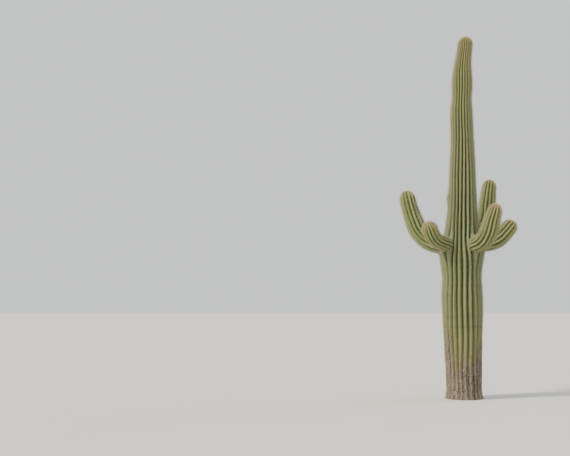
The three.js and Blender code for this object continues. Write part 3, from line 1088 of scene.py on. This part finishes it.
# %% Spines
FEWEST_SPINES, MOST_SPINES, MORE_OR_FEWER = 9, 24, 2
CENTRAL_SPINES = 6
CENTRAL_LENGTHS, RADIAL_LENGTHS = (0.026, 0.042), (0.012, 0.022)
OLD_LENGTH, GAINED_BY_YOUTH = 0.75, 0.17
WORN_SHARE, WORN_LENGTH = 0.95, 0.5
CENTRAL_LEANS, RADIAL_LEANS = (4, 48), (58, 84)
TURN_JITTER = 0.3
CENTRAL_THICKNESS, RADIAL_THICKNESS = 0.0013, 0.0008
ROOT_SHARE = 0.5
CORNERS = np.radians((0, 120, 240))
SPINES_PER_PIECE = 45000
SPINE_SEED = 100
SPINE_STREAK_MM = 8
HORN_IOR = 1.54

# tint, darker and lighter tone, roughness
SPINE_TONES = (
    ("weathered", "#6f664c", "#958b70", 0.75),
    ("ash", "#9b906e", "#c3b894", 0.6),
    ("straw", "#b9a576", "#dccc9f", 0.45),
    ("red_brown", "#65422f", "#8c5f42", 0.45),
)

# the chances of these tints, on the oldest areoles or on the youngest
WEATHERED_WHEN_OLD, ASH_WHEN_OLD = 1.5, 1.2
STRAW_WHEN_YOUNG, RED_BROWN_WHEN_YOUNG = 1.1, 0.15


def spine_horn(tint, dark, light, roughness):
    finish = {"Roughness": roughness, "IOR": HORN_IOR}
    return mottled_material(f"spine_horn_{tint}", SPINE_STREAK_MM, dark, light, finish)


def by_kind(rng, central, central_range, radial_range):
    """A random value for each spine, from the range of its kind."""
    count = len(central)
    return np.where(central, rng.uniform(*central_range, count), rng.uniform(*radial_range, count))


def spine_points(areoles, rng):
    """Four corners for each spine, three round its root and one at its tip, and its areole's youth."""
    full = FEWEST_SPINES + (MOST_SPINES - FEWEST_SPINES) * areoles.youth
    number = full * (1 - WORN_SHARE * areoles.worn) + rng.uniform(-MORE_OR_FEWER, MORE_OR_FEWER, len(full))
    number = np.round(number).clip(0).astype(int)
    owner = np.repeat(np.arange(len(number)), number)
    rank = np.arange(len(owner)) - np.repeat(np.cumsum(number) - number, number)
    central = rank < CENTRAL_SPINES
    lean = np.radians(by_kind(rng, central, CENTRAL_LEANS, RADIAL_LEANS))
    turn = rank * GOLDEN_ANGLE + rng.uniform(0, 2 * np.pi, len(number))[owner]
    turn = turn + rng.uniform(-TURN_JITTER, TURN_JITTER, len(rank))
    youth = areoles.youth[owner]
    length = by_kind(rng, central, CENTRAL_LENGTHS, RADIAL_LENGTHS) * (OLD_LENGTH + GAINED_BY_YOUTH * youth)
    length = (length * (1 - WORN_LENGTH * areoles.worn[owner]))[:, None]
    thickness = np.where(central, CENTRAL_THICKNESS, RADIAL_THICKNESS)[:, None]
    normal, upward = areoles.normal[owner], areoles.upward[owner]
    sideways = np.cross(normal, upward)
    flat, first = swung(turn, upward, sideways), swung(turn, sideways, -upward)
    direction = swung(lean, normal, flat)
    second = np.cross(direction, first)
    root = areoles.place[owner] + ROOT_SHARE * FELT_RISE * normal
    root = root + ROOT_SHARE * FELT_HALF_WIDTH * np.sin(lean)[:, None] * flat
    ring = [root + thickness * swung(corner, first, second) for corner in CORNERS]
    return np.stack([*ring, root + length * direction], axis=1), youth


def spine_tints(youth, rng):
    """Deal a row of SPINE_TONES to each spine. The older its areole is, the greyer it may be."""
    weathered, ash = WEATHERED_WHEN_OLD * (1 - youth) ** 2, ASH_WHEN_OLD - youth
    straw, red_brown = STRAW_WHEN_YOUNG * youth**2, RED_BROWN_WHEN_YOUNG * youth
    chances = np.stack([weathered, ash, straw, red_brown], axis=1)
    limits = np.cumsum(chances / chances.sum(axis=1, keepdims=True), axis=1)
    tint = (rng.random(len(youth))[:, None] > limits).sum(axis=1)
    return tint.clip(max=len(SPINE_TONES) - 1).astype(np.int32)


def spine_mesh(name, points, tints):
    corners = np.array([(0, 2, 1), (0, 1, 3), (1, 2, 3), (2, 0, 3)])
    faces = (4 * np.arange(len(points))[:, None, None] + corners).reshape(-1, 3)
    mesh = new_mesh(name, points, faces.tolist())
    mesh.polygons.foreach_set("material_index", np.repeat(tints, len(corners)))
    return mesh


horns = [spine_horn(*tones) for tones in SPINE_TONES]
for seed, (name, found) in enumerate(plant_areoles.items()):
    rng = np.random.default_rng(SPINE_SEED + seed)
    points, youth = spine_points(found, rng)
    tints = spine_tints(youth, rng)
    pieces = math.ceil(len(points) / SPINES_PER_PIECE)
    for n, (part, tint) in enumerate(zip(np.array_split(points, pieces), np.array_split(tints, pieces))):
        part_name = f"{name}_spines_{n + 1}" if pieces > 1 else f"{name}_spines"
        add_piece(part_name, spine_mesh(part_name, part, tint), horns)

# %% [markdown]
